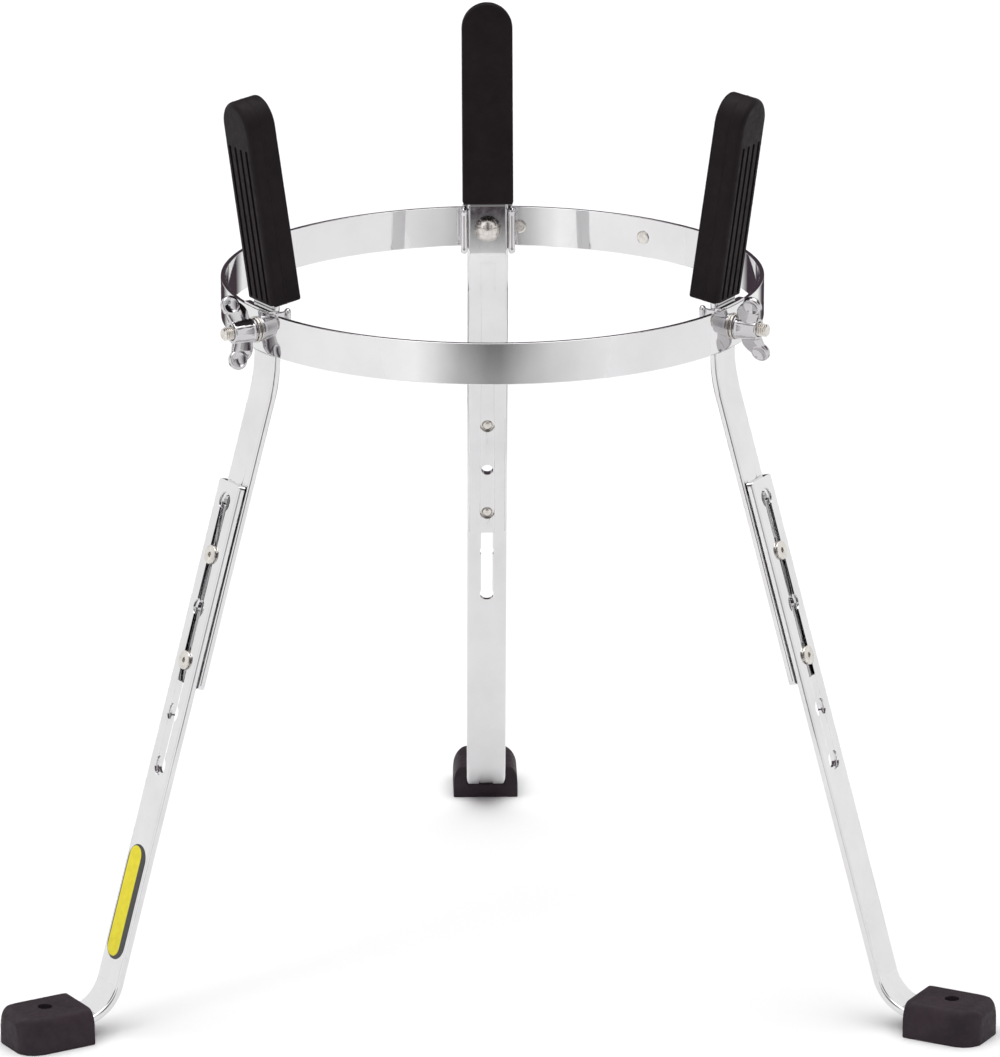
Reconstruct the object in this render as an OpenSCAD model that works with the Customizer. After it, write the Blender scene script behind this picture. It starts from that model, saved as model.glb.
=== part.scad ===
// Three-legged basket stand for a hand drum. Every dimension is in millimetres.
// Floor at z = 0, +Z up. The rear leg points to +Y, the two front legs to
// azimuth 210 (left) and 330 (right). Each leg is built in its own frame with
// +X radially outwards from the ring axis, and is then turned into place.

/* [Ring] */
// Outer radius of the band
ring_radius = 165; // [140:1:190]
// Wall thickness of the band
ring_wall = 2.8; // [2:0.1:4]
// Height of the band
band_height = 25; // [20:0.5:35]
// Height of the band's upper edge above the floor
ring_top = 436; // [380:1:500]

/* [Bars] */
// Width of the flat bars
bar_w = 25.4; // [20:0.2:30]
// Thickness of the flat bars
bar_t = 4.8; // [3:0.1:6]
// Gap between the two overlapped bars
bar_gap = 0.8; // [0.4:0.1:2]
// Lean of the leg from vertical, in degrees
tilt = 16.5; // [8:0.5:24]
// Radius of the outer face of the upright part of the upper bar
bar_face_r = 159.6; // [150:0.1:162]
// Bend radius just under the ring, at the outer face
knee_r = 95; // [60:1:150]
// Height where that bend starts
knee_z = 409; // [400:0.5:412]
// Bend radius of the heel, at the lower face
heel_r = 29; // [20:1:40]
// Height of the underside of the bar's tail above the floor
tail_z = 9; // [6:0.5:12]
// Radius where the tail ends, inside the shoe
tail_end_r = 331; // [320:1:334]

/* [Height adjustment] */
// Distance from one keyhole opening to the next
pitch = 33; // [25:0.5:40]
// Position of the first opening along the leg, from the end of the bend
first_open = 66.7; // [60:0.1:80]
// Diameter of the openings at the outer face
open_d = 12.2; // [10:0.1:14]
// Diameter of the openings at the inner face
open_in_d = 9.0; // [8:0.1:12]
// Width of the slot that joins the openings
slot_w = 7.4; // [6:0.1:8]

/* [Arm pad] */
// Height of the lower end of the pad
pad_z = 439.9; // [438:0.1:450]
// Length of the pad
pad_len = 125.8; // [90:0.1:150]
// Width of the pad
pad_w = 31.6; // [28:0.2:40]
// Outward lean of the arm and pad, in degrees
pad_lean = 9; // [0:0.5:15]

/* [Foot] */
// Radius of the inner end of the shoe
shoe_in = 293; // [285:1:300]
// Radius of the outer end of the shoe
shoe_out = 340.5; // [330:0.5:350]
// Width of the sole
shoe_w = 42.4; // [34:0.2:50]
// Height of the shoe
shoe_h = 22.3; // [18:0.1:26]

/* [Clamp bolt] */
// Nominal diameter of the carriage bolt
bolt_d = 8; // [6:1:10]
// Radius where the bolt's tip ends
bolt_tip_r = 187.5; // [182:0.5:195]

/* [Hidden] */
$fn = 64;
az_rear = 90;
az_left = 210;
az_right = 330;
bolt_z = ring_top - band_height / 2;
// centre of the part's box, measured from the ring axis along Y
axis_y = -77.78;
// knee: end of the bend, on the upper bar's outer face
kx = bar_face_r + knee_r * (1 - cos(tilt));
kz = knee_z - knee_r * sin(tilt);
// lower bar: top end, heel and tail, in leg coordinates
low_top = first_open - 12.5;
up_end = first_open + 3 * pitch + 15;
heel_cz = tail_z + heel_r;
heel_s = (kz + bar_gap * sin(tilt) - (heel_cz - heel_r * sin(tilt))) / cos(tilt);
heel_cx = kx + bar_gap * cos(tilt) + heel_s * sin(tilt) + heel_r * cos(tilt);
// upper bend of the arm, above the ring
neck_r = 60;
neck_z = 437;
neck_x = bar_face_r + neck_r * (1 - cos(pad_lean));
neck_top = neck_z + neck_r * sin(pad_lean);
pad_x = 156.71;
core_len = 71.5;
pad_face = 5.1;
pad_draft = 0.775;
pad_edge = 3.5;
washer_t = 1.6;
flange_z = 410.3;
nut_x = ring_radius + washer_t + 0.2;
nut_len = 15.2;
screw_r = 316;
wing_turn = [25, 15.7, 20];
rivet_at = [7.1, 36.5];

// ---------- helpers ----------

// moves a leg from its own frame to its azimuth on the stand
module at_leg(az) {
    translate([0, axis_y, 0]) rotate([0, 0, az]) children();
}

// frame of the sloping leg: X is the outward normal, -Z runs down the leg
module on_slope() {
    translate([kx, 0, kz]) rotate([0, -tilt, 0]) children();
}

// frame of the leaning arm: origin in the middle of the pad's lower end
module on_arm() {
    translate([pad_x, 0, pad_z]) rotate([0, pad_lean, 0]) children();
}

// bar sections as points [depth below the outer face, Y]: rounded edges, and
// for the lower bar a shallow groove along the inner face
function corner(u, y, a0) = [for (k = [0:4])
    [u + edge_r * cos(a0 + k * 22.5), y + edge_r * sin(a0 + k * 22.5)]];
edge_r = 1.3;
section = concat(
    corner(edge_r, -bar_w / 2 + edge_r, 180),
    corner(bar_t - edge_r, -bar_w / 2 + edge_r, 270),
    [[bar_t, -4.6], [bar_t - 0.6, -4.0], [bar_t - 0.6, 4.0], [bar_t, 4.6]],
    corner(bar_t - edge_r, bar_w / 2 - edge_r, 0),
    corner(edge_r, bar_w / 2 - edge_r, 90));
plain_section = concat(
    corner(edge_r, -bar_w / 2 + edge_r, 180),
    corner(bar_t - edge_r, -bar_w / 2 + edge_r, 270),
    corner(bar_t - edge_r, bar_w / 2 - edge_r, 0),
    corner(edge_r, bar_w / 2 - edge_r, 90));

// sweeps a section along stations [x, z, tilt of the outward normal], which
// lie on the outer face and run up the bar
module sweep_bar(path, sec = section) {
    n = len(sec);
    m = len(path);
    polyhedron(
        points = [for (p = path, q = sec)
            [p[0] - q[0] * cos(p[2]), q[1], p[1] - q[0] * sin(p[2])]],
        faces = concat(
            [[for (i = [0:n - 1]) i]],
            [[for (i = [0:n - 1]) (m - 1) * n + n - 1 - i]],
            [for (j = [0:m - 2], i = [0:n - 1])
                [j * n + i, (j + 1) * n + i, (j + 1) * n + (i + 1) % n, j * n + (i + 1) % n]]));
}

// stations round an arc about [cx, cz] at radius r, from angle a0 to a1
function arc(cx, cz, r, a0, a1, n) = [for (k = [0:n]) let (a = a0 + (a1 - a0) * k / n)
    [cx + r * cos(a), cz + r * sin(a), a - 180]];

// what is cut away to round both corners at the end of a bar: drawn in Y and X
// with the end at x = 0 and the bar on the -X side
module corner_waste(w, r) {
    for (s = [-1, 1]) difference() {
        translate([-r, s > 0 ? w / 2 - r : -w / 2 - 1]) square([r + 1, r + 1]);
        translate([-r, s * (w / 2 - r)]) circle(r = r);
    }
}

module x_cyl(x0, x1, r) {
    translate([x0, 0, 0]) rotate([0, 90, 0]) cylinder(r = r, h = x1 - x0);
}

// ---------- ring ----------

module ring_band() {
    color([0.82, 0.83, 0.84]) translate([0, axis_y, 0]) difference() {
        rotate_extrude() {
            translate([ring_radius - ring_wall, ring_top - band_height + 0.8])
                square([ring_wall, band_height - 1.6]);
            translate([ring_radius - ring_wall + 0.8, ring_top - band_height])
                square([ring_wall - 1.6, band_height]);
            for (x = [ring_radius - ring_wall + 0.8, ring_radius - 0.8],
                z = [ring_top - band_height + 0.8, ring_top - 0.8])
                translate([x, z]) circle(r = 0.8);
        }
        for (az = [az_rear, az_left, az_right])
            rotate([0, 0, az]) translate([0, 0, bolt_z])
                x_cyl(150, 180, bolt_d / 2 + 0.3);
        for (a = rivet_at)
            rotate([0, 0, az_rear - a]) translate([0, 0, bolt_z])
                x_cyl(150, 180, 2.5);
    }
}

// curved strap behind the joint of the band
module ring_splice() {
    color([0.82, 0.83, 0.84]) translate([0, axis_y, 0]) difference() {
        rotate([0, 0, az_rear - 40.7]) rotate_extrude(angle = 37.2)
            translate([ring_radius, bolt_z - 10]) square([2, 20]);
        for (a = rivet_at)
            rotate([0, 0, az_rear - a]) translate([0, 0, bolt_z])
                x_cyl(150, 180, 2.5);
    }
}

module ring_rivets() {
    color([0.80, 0.77, 0.70]) translate([0, axis_y, 0])
        for (a = rivet_at)
            rotate([0, 0, az_rear - a]) translate([0, 0, bolt_z]) {
                x_cyl(ring_radius - ring_wall - 0.9, ring_radius - ring_wall - 0.1, 4.2);
                x_cyl(ring_radius - ring_wall - 0.5, ring_radius + 2.5, 2.45);
                translate([ring_radius + 2.1, 0, 0]) rotate([0, 90, 0])
                    cylinder(r1 = 4, r2 = 3, h = 1.4);
            }
}

// U-shaped saddle between band and upper bar, with rolled side flanges
module saddle(az) {
    color([0.82, 0.83, 0.84]) at_leg(az) difference() {
        union() {
            intersection() {
                translate([bar_face_r + 0.3, -15.6, knee_z])
                    cube([10, 31.2, ring_top + 1.6 - knee_z]);
                translate([0, 0, knee_z - 5]) cylinder(r = ring_radius - ring_wall, h = 40, $fn = 128);
            }
            // lip over the top edge of the band
            intersection() {
                translate([bar_face_r + 0.3, -15.6, ring_top])
                    cube([10, 31.2, 1.6]);
                translate([0, 0, ring_top - 5]) cylinder(r = ring_radius, h = 40, $fn = 128);
            }
            for (s = [-1, 1]) {
                translate([151.4, s > 0 ? 12.85 : -15.2, flange_z])
                    cube([bar_face_r + 0.6 - 151.4, 2.35, ring_top - flange_z]);
                translate([151.4, s * 14.9, flange_z]) {
                    cylinder(r = 2, h = ring_top - flange_z);
                    sphere(r = 2.1);
                    translate([0, 0, ring_top - flange_z]) sphere(r = 2.1);
                }
            }
        }
        // room for the bar between the flanges
        translate([140, -12.85, 400]) cube([bar_face_r + 0.3 - 140, 25.7, 50]);
        translate([0, 0, bolt_z]) x_cyl(150, 180, bolt_d / 2 + 0.3);
    }
}

// ---------- clamp ----------

module washer(az) {
    color([0.80, 0.77, 0.70]) at_leg(az) translate([0, 0, bolt_z]) difference() {
        x_cyl(ring_radius, ring_radius + washer_t, 8);
        x_cyl(ring_radius - 1, ring_radius + 3, bolt_d / 2 + 0.25);
    }
}

module wing_nut(az, turn) {
    lobe = [13.2, 16.4];
    color([0.82, 0.83, 0.84]) at_leg(az) translate([nut_x, 0, bolt_z])
        rotate([turn, 0, 0]) difference() {
        union() {
            rotate([0, 90, 0]) cylinder(r = 7.3, h = 2);
            translate([2, 0, 0]) rotate([0, 90, 0]) cylinder(r1 = 7.1, r2 = 6.4, h = nut_len - 2);
            // broad wings along the whole barrel, each ending in a round lobe
            for (s = [-1, 1])
                rotate([90, 0, 0]) translate([0, 0, -1.7]) linear_extrude(3.4) {
                    translate([lobe[0], s * lobe[1]]) circle(r = 6);
                    polygon([[1.6, s * 5.2], [2.4, s * 9], [lobe[0] - 5.2, s * (lobe[1] + 3)],
                        [lobe[0] + 5.9, s * (lobe[1] - 1.2)], [nut_len - 0.6, s * 5.2]]);
                }
        }
        x_cyl(-1, nut_len + 10, bolt_d / 2 + 0.05);
        for (s = [-1, 1], t = [-1, 1])
            translate([lobe[0], t * 2.2 + (t > 0 ? -0.9 : 0.9), s * lobe[1]])
                rotate([t > 0 ? -90 : 90, 0, 0]) cylinder(r = 3.8, h = 2);
    }
}

module carriage_bolt(az) {
    head_x = bar_face_r - bar_t;
    sr = (8.5 * 8.5 + 4.6 * 4.6) / (2 * 4.6);
    color([0.80, 0.77, 0.70]) at_leg(az) translate([0, 0, bolt_z]) {
        intersection() {
            translate([head_x - 4.6 + sr, 0, 0]) sphere(r = sr);
            x_cyl(head_x - 10, head_x, 8.5);
        }
        translate([head_x, -4, -4]) cube([4, 8, 8]);
        x_cyl(head_x + 3, bolt_tip_r - 1, bolt_d / 2);
        translate([bolt_tip_r - 1, 0, 0]) rotate([0, 90, 0])
            cylinder(r1 = bolt_d / 2, r2 = bolt_d / 2 - 1, h = 1);
    }
}

// ---------- arm ----------

// stud positions along the slope, at the second and fourth openings
function stud_s(k) = first_open + (2 * k - 1) * pitch;

module upper_bar(az) {
    lean = [sin(pad_lean), cos(pad_lean)];
    color([0.82, 0.83, 0.84]) at_leg(az) difference() {
        sweep_bar(concat(
            [[kx + up_end * sin(tilt), kz - up_end * cos(tilt), tilt]],
            arc(bar_face_r + knee_r, knee_z, knee_r, 180 + tilt, 180, 10),
            arc(bar_face_r + neck_r, neck_z, neck_r, 180, 180 - pad_lean, 6),
            [[neck_x + core_len * lean[0], neck_top + core_len * lean[1], -pad_lean]]),
            plain_section);
        // inner groove, which stops just below the clamp
        on_slope() translate([0, 0, -up_end - 5]) linear_extrude(up_end + 5.2)
            polygon([[-bar_t + 0.6, -4], [-bar_t - 1, -5.6], [-bar_t - 1, 5.6], [-bar_t + 0.6, 4]]);
        translate([bar_face_r + knee_r, 0, knee_z]) rotate([90, 0, 0])
            rotate([0, 0, 180 + 0.26 * tilt]) rotate_extrude(angle = 0.74 * tilt)
            translate([knee_r + bar_t, 0]) polygon([[-0.6, -4], [1, -5.6], [1, 5.6], [-0.6, 4]]);
        // rounded corners at both ends
        on_slope() translate([0, 0, -up_end]) rotate([0, 90, 0]) translate([0, 0, -10])
            linear_extrude(20) corner_waste(bar_w, 4);
        translate([neck_x, 0, neck_top]) rotate([0, pad_lean, 0])
            translate([0, 0, core_len]) rotate([0, -90, 0]) translate([0, 0, -10])
            linear_extrude(20) corner_waste(bar_w, 10);
        // square hole for the bolt's neck
        translate([bar_face_r - bar_t - 1, -4.1, bolt_z - 4.1])
            cube([bar_t + 2, 8.2, 8.2]);
        // stud holes and the spare hole between them
        on_slope() {
            for (k = [1, 2]) translate([0, 0, -stud_s(k)]) x_cyl(-10, 5, 4.5);
            translate([0, 0, -first_open - 2 * pitch]) x_cyl(-10, 5, 3.75);
        }
    }
}

// flat outline in X (along the bar) and Y, with both far corners rounded
module end_outline(x0, x1, w, r) {
    translate([x0, -w / 2]) square([x1 - x0 - r, w]);
    translate([x0, -w / 2 + r]) square([x1 - x0, w - 2 * r]);
    for (y = [-w / 2 + r, w / 2 - r]) translate([x1 - r, y]) circle(r = r);
}

module arm_pad(az) {
    color([0.13, 0.11, 0.13]) at_leg(az) on_arm() difference() {
        intersection() {
            // side view, inner face and both ends
            rotate([90, 0, 0]) translate([0, 0, -20]) linear_extrude(40)
                polygon([[-14.6, 0.8], [-13.8, 0], [8, 0], [8, pad_len], [-15.6, pad_len]]);
            // front view with a fully rounded top
            rotate([90, 0, 90]) translate([0, 0, -20]) linear_extrude(40) {
                translate([0, pad_len - pad_w / 2]) circle(r = pad_w / 2);
                polygon([[-pad_w / 2, 2], [-pad_w / 2 + 0.6, 0.6], [-pad_w / 2 + 2, 0],
                    [pad_w / 2 - 2, 0], [pad_w / 2 - 0.6, 0.6], [pad_w / 2, 2],
                    [pad_w / 2, pad_len - pad_w / 2], [-pad_w / 2, pad_len - pad_w / 2]]);
            }
            // outer face with rounded long edges
            translate([pad_face, 0, -1]) rotate([0, -pad_draft, 0]) linear_extrude(140) {
                translate([-30, -pad_w / 2 - 1]) square([30 - pad_edge, pad_w + 2]);
                translate([-30, -pad_w / 2 + pad_edge]) square([30, pad_w - 2 * pad_edge]);
                for (s = [-1, 1]) translate([-pad_edge, s * (pad_w / 2 - pad_edge)])
                    circle(r = pad_edge);
            }
        }
        // pocket for the core, wider at the mouth where the bar still bends
        translate([-2.35, -bar_w / 2 - 0.1, -1]) cube([5.7, bar_w + 0.2, 8]);
        translate([-2.35, -bar_w / 2 - 0.1, -1]) cube([5.05, bar_w + 0.2, 69.8]);
        translate([-2.35, -2.6, 60]) cube([5.05, 5.2, 18.8]);
        intersection() {
            translate([-2.35, -bar_w / 2 - 0.1, 60]) cube([5.05, bar_w + 0.2, 18.8]);
            rotate([0, -90, 0]) translate([0, 0, -10]) linear_extrude(20)
                end_outline(50, 78.8, bar_w + 0.2, 10);
        }
        // four long grooves in the outer face
        for (y = [-9.75, -3.25, 3.25, 9.75])
            translate([pad_face - 0.9, y - 1.4, 2]) rotate([0, -pad_draft, 0]) cube([6, 2.8, 95]);
    }
}

// shouldered stud: dome in the upper bar, neck in the slot, flat outer head
module stud(az, k) {
    head_x = bar_gap + bar_t + 0.3;
    color([0.80, 0.77, 0.70]) at_leg(az) on_slope() translate([0, 0, -stud_s(k)])
        difference() {
            union() {
                x_cyl(-2.4, 0, 4.45);
                x_cyl(0, head_x, 3.5);
                x_cyl(head_x, head_x + 1.3, 5.8);
                intersection() {
                    x_cyl(-4.6, -2.4, 3.4);
                    translate([-1.2, 0, 0]) sphere(r = 3.4);
                }
            }
            x_cyl(head_x + 0.5, head_x + 3, 1.4);
        }
}

// ---------- shin ----------

module lower_bar(az) {
    off = bar_gap + bar_t;
    color([0.82, 0.83, 0.84]) at_leg(az) difference() {
        sweep_bar(concat(
            [[tail_end_r, tail_z + bar_t, 90]],
            arc(heel_cx, heel_cz, heel_r - bar_t, 270, 180 + tilt, 24),
            [[kx + off * cos(tilt) + low_top * sin(tilt),
                kz + off * sin(tilt) - low_top * cos(tilt), tilt]]));
        on_slope() translate([0, 0, -low_top]) rotate([0, -90, 0]) translate([0, 0, -15])
            linear_extrude(30) corner_waste(bar_w, 3);
        // keyhole row: openings stepped from the outer face, joined by a slot
        on_slope() {
            for (k = [0:5]) translate([0, 0, -first_open - k * pitch]) {
                x_cyl(-1, 10, open_in_d / 2);
                x_cyl(bar_gap + bar_t - 1.6, 10, open_d / 2);
            }
            translate([-1, -slot_w / 2, -first_open - 5 * pitch])
                cube([12, slot_w, 5 * pitch]);
        }
        translate([screw_r, 0, -1]) cylinder(r = 2.6, h = 30);
    }
}

// side of the shoe in section: height, then how far it stands in
shoe_side = [[0, 0], [7, 0], [12, 0.2], [16, 0.9], [19, 2.2], [21.2, 4.2], [shoe_h, 6.4]];

module foot_shoe(az) {
    color([0.16, 0.13, 0.16]) at_leg(az) difference() {
        intersection() {
            // cross-section, wide sole and narrower rounded top
            translate([shoe_in, 0, 0]) rotate([90, 0, 90]) linear_extrude(shoe_out - shoe_in)
                polygon([for (s = [-1, 1], p = s < 0 ? shoe_side : [for (i = [6:-1:0]) shoe_side[i]])
                    [s * (shoe_w / 2 - p[1]), p[0]]]);
            // plan with rounded outer corners
            translate([0, 0, -1]) linear_extrude(shoe_h + 2) {
                end_outline(shoe_in - 1, shoe_out, shoe_w, 10);
            }
            // side view with drafted ends
            rotate([90, 0, 0]) translate([0, 0, -30]) linear_extrude(60)
                polygon([[shoe_in, 0], [shoe_out, 0], [shoe_out, 5], [shoe_out - 1.2, 12],
                    [shoe_out - 3, 19], [shoe_out - 5.5, shoe_h], [shoe_in + 2, shoe_h],
                    [shoe_in + 0.6, shoe_h - 1.6]]);
        }
        // pocket for the tail
        translate([shoe_in - 5, -bar_w / 2 - 0.1, tail_z - 0.1])
            cube([tail_end_r + 0.3 - shoe_in + 5, bar_w + 0.2, bar_t + 0.4]);
        // screw recess and pilot hole
        translate([screw_r, 0, 15.8]) cylinder(r = 4.4, h = 20);
        translate([screw_r, 0, 3]) cylinder(r = 2.5, h = 20);
    }
}

module foot_screw(az) {
    color([0.80, 0.77, 0.70]) at_leg(az) translate([screw_r, 0, 0]) difference() {
        union() {
            translate([0, 0, 3.4]) cylinder(r = 2.4, h = 12.6);
            translate([0, 0, 15.8]) cylinder(r = 3.8, h = 1.2);
            translate([0, 0, 17]) cylinder(r1 = 3.8, r2 = 2.9, h = 1.2);
        }
        translate([-2.4, -0.5, 16.8]) cube([4.8, 1, 3]);
        translate([-0.5, -2.4, 16.8]) cube([1, 4.8, 3]);
    }
}

// plain stuck-on label on the outer face of the left leg
module left_leg_label() {
    color([0.95, 0.78, 0.10]) at_leg(az_left) on_slope()
        translate([bar_gap + bar_t, 0, 0]) rotate([0, -90, 0]) mirror([0, 0, 1])
            linear_extrude(0.3) {
                end_outline(-318, -282, 20, 2);
                mirror([1, 0]) end_outline(317, 354, 20, 2);
            }
}

// ---------- one node each ----------

ring_band();
ring_splice();
ring_rivets();

saddle(az_rear);  // rear_saddle
washer(az_rear);  // rear_washer
wing_nut(az_rear, wing_turn[0]);  // rear_wing_nut
carriage_bolt(az_rear);  // rear_carriage_bolt
upper_bar(az_rear);  // rear_upper_bar
arm_pad(az_rear);  // rear_arm_pad
stud(az_rear, 1);  // rear_upper_stud
stud(az_rear, 2);  // rear_lower_stud
lower_bar(az_rear);  // rear_lower_bar
foot_shoe(az_rear);  // rear_foot_shoe
foot_screw(az_rear);  // rear_foot_screw

saddle(az_left);  // left_saddle
washer(az_left);  // left_washer
wing_nut(az_left, wing_turn[1]);  // left_wing_nut
carriage_bolt(az_left);  // left_carriage_bolt
upper_bar(az_left);  // left_upper_bar
arm_pad(az_left);  // left_arm_pad
stud(az_left, 1);  // left_upper_stud
stud(az_left, 2);  // left_lower_stud
lower_bar(az_left);  // left_lower_bar
foot_shoe(az_left);  // left_foot_shoe
foot_screw(az_left);  // left_foot_screw
left_leg_label();

saddle(az_right);  // right_saddle
washer(az_right);  // right_washer
wing_nut(az_right, wing_turn[2]);  // right_wing_nut
carriage_bolt(az_right);  // right_carriage_bolt
upper_bar(az_right);  // right_upper_bar
arm_pad(az_right);  // right_arm_pad
stud(az_right, 1);  // right_upper_stud
stud(az_right, 2);  // right_lower_stud
lower_bar(az_right);  // right_lower_bar
foot_shoe(az_right);  // right_foot_shoe
foot_screw(az_right);  // right_foot_screw
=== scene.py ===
# Looks for the chrome conga stand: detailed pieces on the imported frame, studio, camera.
import math

import bpy
import bmesh
from mathutils import Matrix, Vector


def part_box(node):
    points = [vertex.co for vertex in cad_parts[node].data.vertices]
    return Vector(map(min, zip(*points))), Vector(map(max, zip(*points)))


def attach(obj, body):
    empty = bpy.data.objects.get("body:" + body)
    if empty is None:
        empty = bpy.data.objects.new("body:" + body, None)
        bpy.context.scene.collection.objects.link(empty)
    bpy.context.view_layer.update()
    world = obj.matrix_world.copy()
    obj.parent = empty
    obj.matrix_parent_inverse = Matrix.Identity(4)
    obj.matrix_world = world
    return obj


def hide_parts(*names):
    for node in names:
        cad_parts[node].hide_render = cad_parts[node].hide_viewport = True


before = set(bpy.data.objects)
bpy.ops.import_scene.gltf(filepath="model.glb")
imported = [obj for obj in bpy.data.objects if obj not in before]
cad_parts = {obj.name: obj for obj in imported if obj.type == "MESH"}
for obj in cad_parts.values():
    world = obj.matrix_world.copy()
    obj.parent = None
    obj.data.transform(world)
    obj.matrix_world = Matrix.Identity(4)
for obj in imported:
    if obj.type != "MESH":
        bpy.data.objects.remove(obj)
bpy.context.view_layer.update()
scene = bpy.context.scene

# ---------------------------------------------------------------- sizes (mm)
# Every length is in millimetres until place() scales it. A leg is drawn pointing along +X,
# with the ring's axis at the origin, and leg_matrix turns it into its place.
band_low, band_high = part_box("ring_band")
AXIS_Y = (band_low.y + band_high.y) / 2 * 1000
RING_R = (band_high.x - band_low.x) / 2 * 1000
RING_TOP = band_high.z * 1000
BAND_H = (band_high.z - band_low.z) * 1000
WALL = 2.8
BOLT_Z = RING_TOP - BAND_H / 2
RIVETS = (82.9, 53.5)                  # directions of the splice rivets
RIVET_SHANK_R = 2.5

# bars: width, thickness, gap between upper and lower bar, radius of the rolled edges
BAR_W, BAR_T, GAP, BAR_EDGE = 25.4, 4.8, 0.8, 1.8
TILT = math.radians(16.5)
FACE_R = 159.6                         # outer face of the upper bar at the ring
KNEE_R, KNEE_Z = 95.0, 409.0
HEEL_R, TAIL_Z, TAIL_END = 29.0, 9.0, 331.0
GROOVE_TOP = 402.0                     # the inner groove stops below the clamp
LEAN = math.radians(9)
NECK_R, NECK_Z, CORE = 60.0, 437.0, 71.5

# height adjustment: distance between openings, and the first one's distance from the knee
PITCH, FIRST, OPENINGS = 33.0, 66.7, 6
LOW_TOP, UP_END = FIRST - 12.5, FIRST + 3 * PITCH + 15
STUD_R, SPARE_R, OPEN_R, SLOT_HALF = 4.5, 3.75, 6.1, 3.7
STUDS = {"upper": 1, "lower": 3}       # which pitch each stud stands at

# start of the slope, top of the neck's bend, and the heel's centre
KX = FACE_R + KNEE_R * (1 - math.cos(TILT))
KZ = KNEE_Z - KNEE_R * math.sin(TILT)
NX = FACE_R + NECK_R * (1 - math.cos(LEAN))
NZ = NECK_Z + NECK_R * math.sin(LEAN)
HEEL_CZ = TAIL_Z + HEEL_R
HEEL_S = (KZ + GAP * math.sin(TILT) - (HEEL_CZ - HEEL_R * math.sin(TILT))) / math.cos(TILT)
HEEL_CX = KX + GAP * math.cos(TILT) + HEEL_S * math.sin(TILT) + HEEL_R * math.cos(TILT)
LOWER_FACE = GAP + BAR_T               # outer face of the lower bar, from the slope's origin

# rubber and clamp
PAD_X, PAD_Z, PAD_LEN, PAD_W = 156.71, 439.9, 125.8, 31.6
PAD_FACE, PAD_DRAFT = 5.1, 0.775
SHOE_IN, SHOE_OUT, SHOE_W, SHOE_H, SHOE_CORNER = 293.0, 340.5, 42.4, 22.3, 14.0
SCREW_R = 316.0
NECK_HALF = 4.1                        # half of the square hole for the bolt's neck
NUT_X, NUT_LEN, TIP_R, FLANGE_Z = 166.8, 15.2, 187.5, 410.3
LOBE_X, LOBE_Z = 13.2, 16.4
SADDLE_HALF = 15.6
THREAD_PITCH = 1.25
LEGS = {"rear": 90, "left": 210, "right": 330}
WING_TURN = {"rear": 25, "left": 15.7, "right": 20}

MM = Matrix.Scale(0.001, 4)
SLOPE = Matrix.Translation((KX, 0, KZ)) @ Matrix.Rotation(-TILT, 4, "Y")
ARM = Matrix.Translation((PAD_X, 0, PAD_Z)) @ Matrix.Rotation(LEAN, 4, "Y")
BOLT = Matrix.Translation((0, 0, BOLT_Z))


def leg_matrix(az):
    """From a leg's own millimetres to the stand, in metres."""
    return (MM @ Matrix.Translation((0, AXIS_Y, 0))
            @ Matrix.Rotation(math.radians(az), 4, "Z"))


RING = MM @ Matrix.Translation((0, AXIS_Y, 0))


# ---------------------------------------------------------------- mesh helpers
def new_object(name, mesh):
    """Links a mesh into the scene."""
    ob = bpy.data.objects.new(name, mesh)
    scene.collection.objects.link(ob)
    return ob


def make(name, verts, faces, m=None):
    """A mesh object in millimetres from points and faces, moved by m."""
    mesh = bpy.data.meshes.new(name)
    mesh.from_pydata([tuple(v) for v in verts], [], faces)
    if m is not None:
        mesh.transform(m)
    bm = bmesh.new()
    bm.from_mesh(mesh)
    bmesh.ops.remove_doubles(bm, verts=bm.verts, dist=1e-5)
    bmesh.ops.recalc_face_normals(bm, faces=bm.faces)
    bm.to_mesh(mesh)
    bm.free()
    return new_object(name, mesh)


def applied(ob):
    """Applies every modifier of ob into its mesh."""
    dg = bpy.context.evaluated_depsgraph_get()
    mesh = bpy.data.meshes.new_from_object(ob.evaluated_get(dg))
    old = ob.data
    ob.modifiers.clear()
    ob.data = mesh
    bpy.data.meshes.remove(old)
    return ob


def drop(*obs):
    """Deletes helper objects with their meshes."""
    for ob in obs:
        mesh = ob.data
        bpy.data.objects.remove(ob)
        bpy.data.meshes.remove(mesh)


def cut(ob, *cutters):
    """Takes the cutters out of ob."""
    for c in cutters:
        mod = ob.modifiers.new("cut", "BOOLEAN")
        mod.operation, mod.object, mod.solver = "DIFFERENCE", c, "EXACT"
        applied(ob)
    drop(*cutters)
    return ob


def join(name, *obs):
    """One mesh object out of several, without welding them."""
    bm = bmesh.new()
    for ob in obs:
        bm.from_mesh(ob.data)
    mesh = bpy.data.meshes.new(name)
    bm.to_mesh(mesh)
    bm.free()
    drop(*obs)
    return new_object(name, mesh)


def smooth(ob, angle=38, bevel=0.0, segments=2, bevel_angle=32):
    """Softens hard edges with a small bevel, then gives flat faces flat normals."""
    mesh = ob.data
    if bevel:
        bm = bmesh.new()
        bm.from_mesh(mesh)
        bmesh.ops.dissolve_limit(bm, angle_limit=math.radians(0.4), verts=bm.verts,
                                 edges=bm.edges, delimit={"NORMAL"})
        bm.to_mesh(mesh)
        bm.free()
        mod = ob.modifiers.new("bevel", "BEVEL")
        mod.width, mod.segments = bevel, segments
        mod.limit_method, mod.angle_limit = "ANGLE", math.radians(bevel_angle)
        mod.use_clamp_overlap = True
        mod.miter_outer = "MITER_ARC"
        applied(ob)
    ob.data.shade_smooth()
    ob.data.set_sharp_from_angle(angle=math.radians(angle))
    mod = ob.modifiers.new("normals", "WEIGHTED_NORMAL")
    mod.keep_sharp, mod.weight = True, 80
    return applied(ob)


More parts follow.
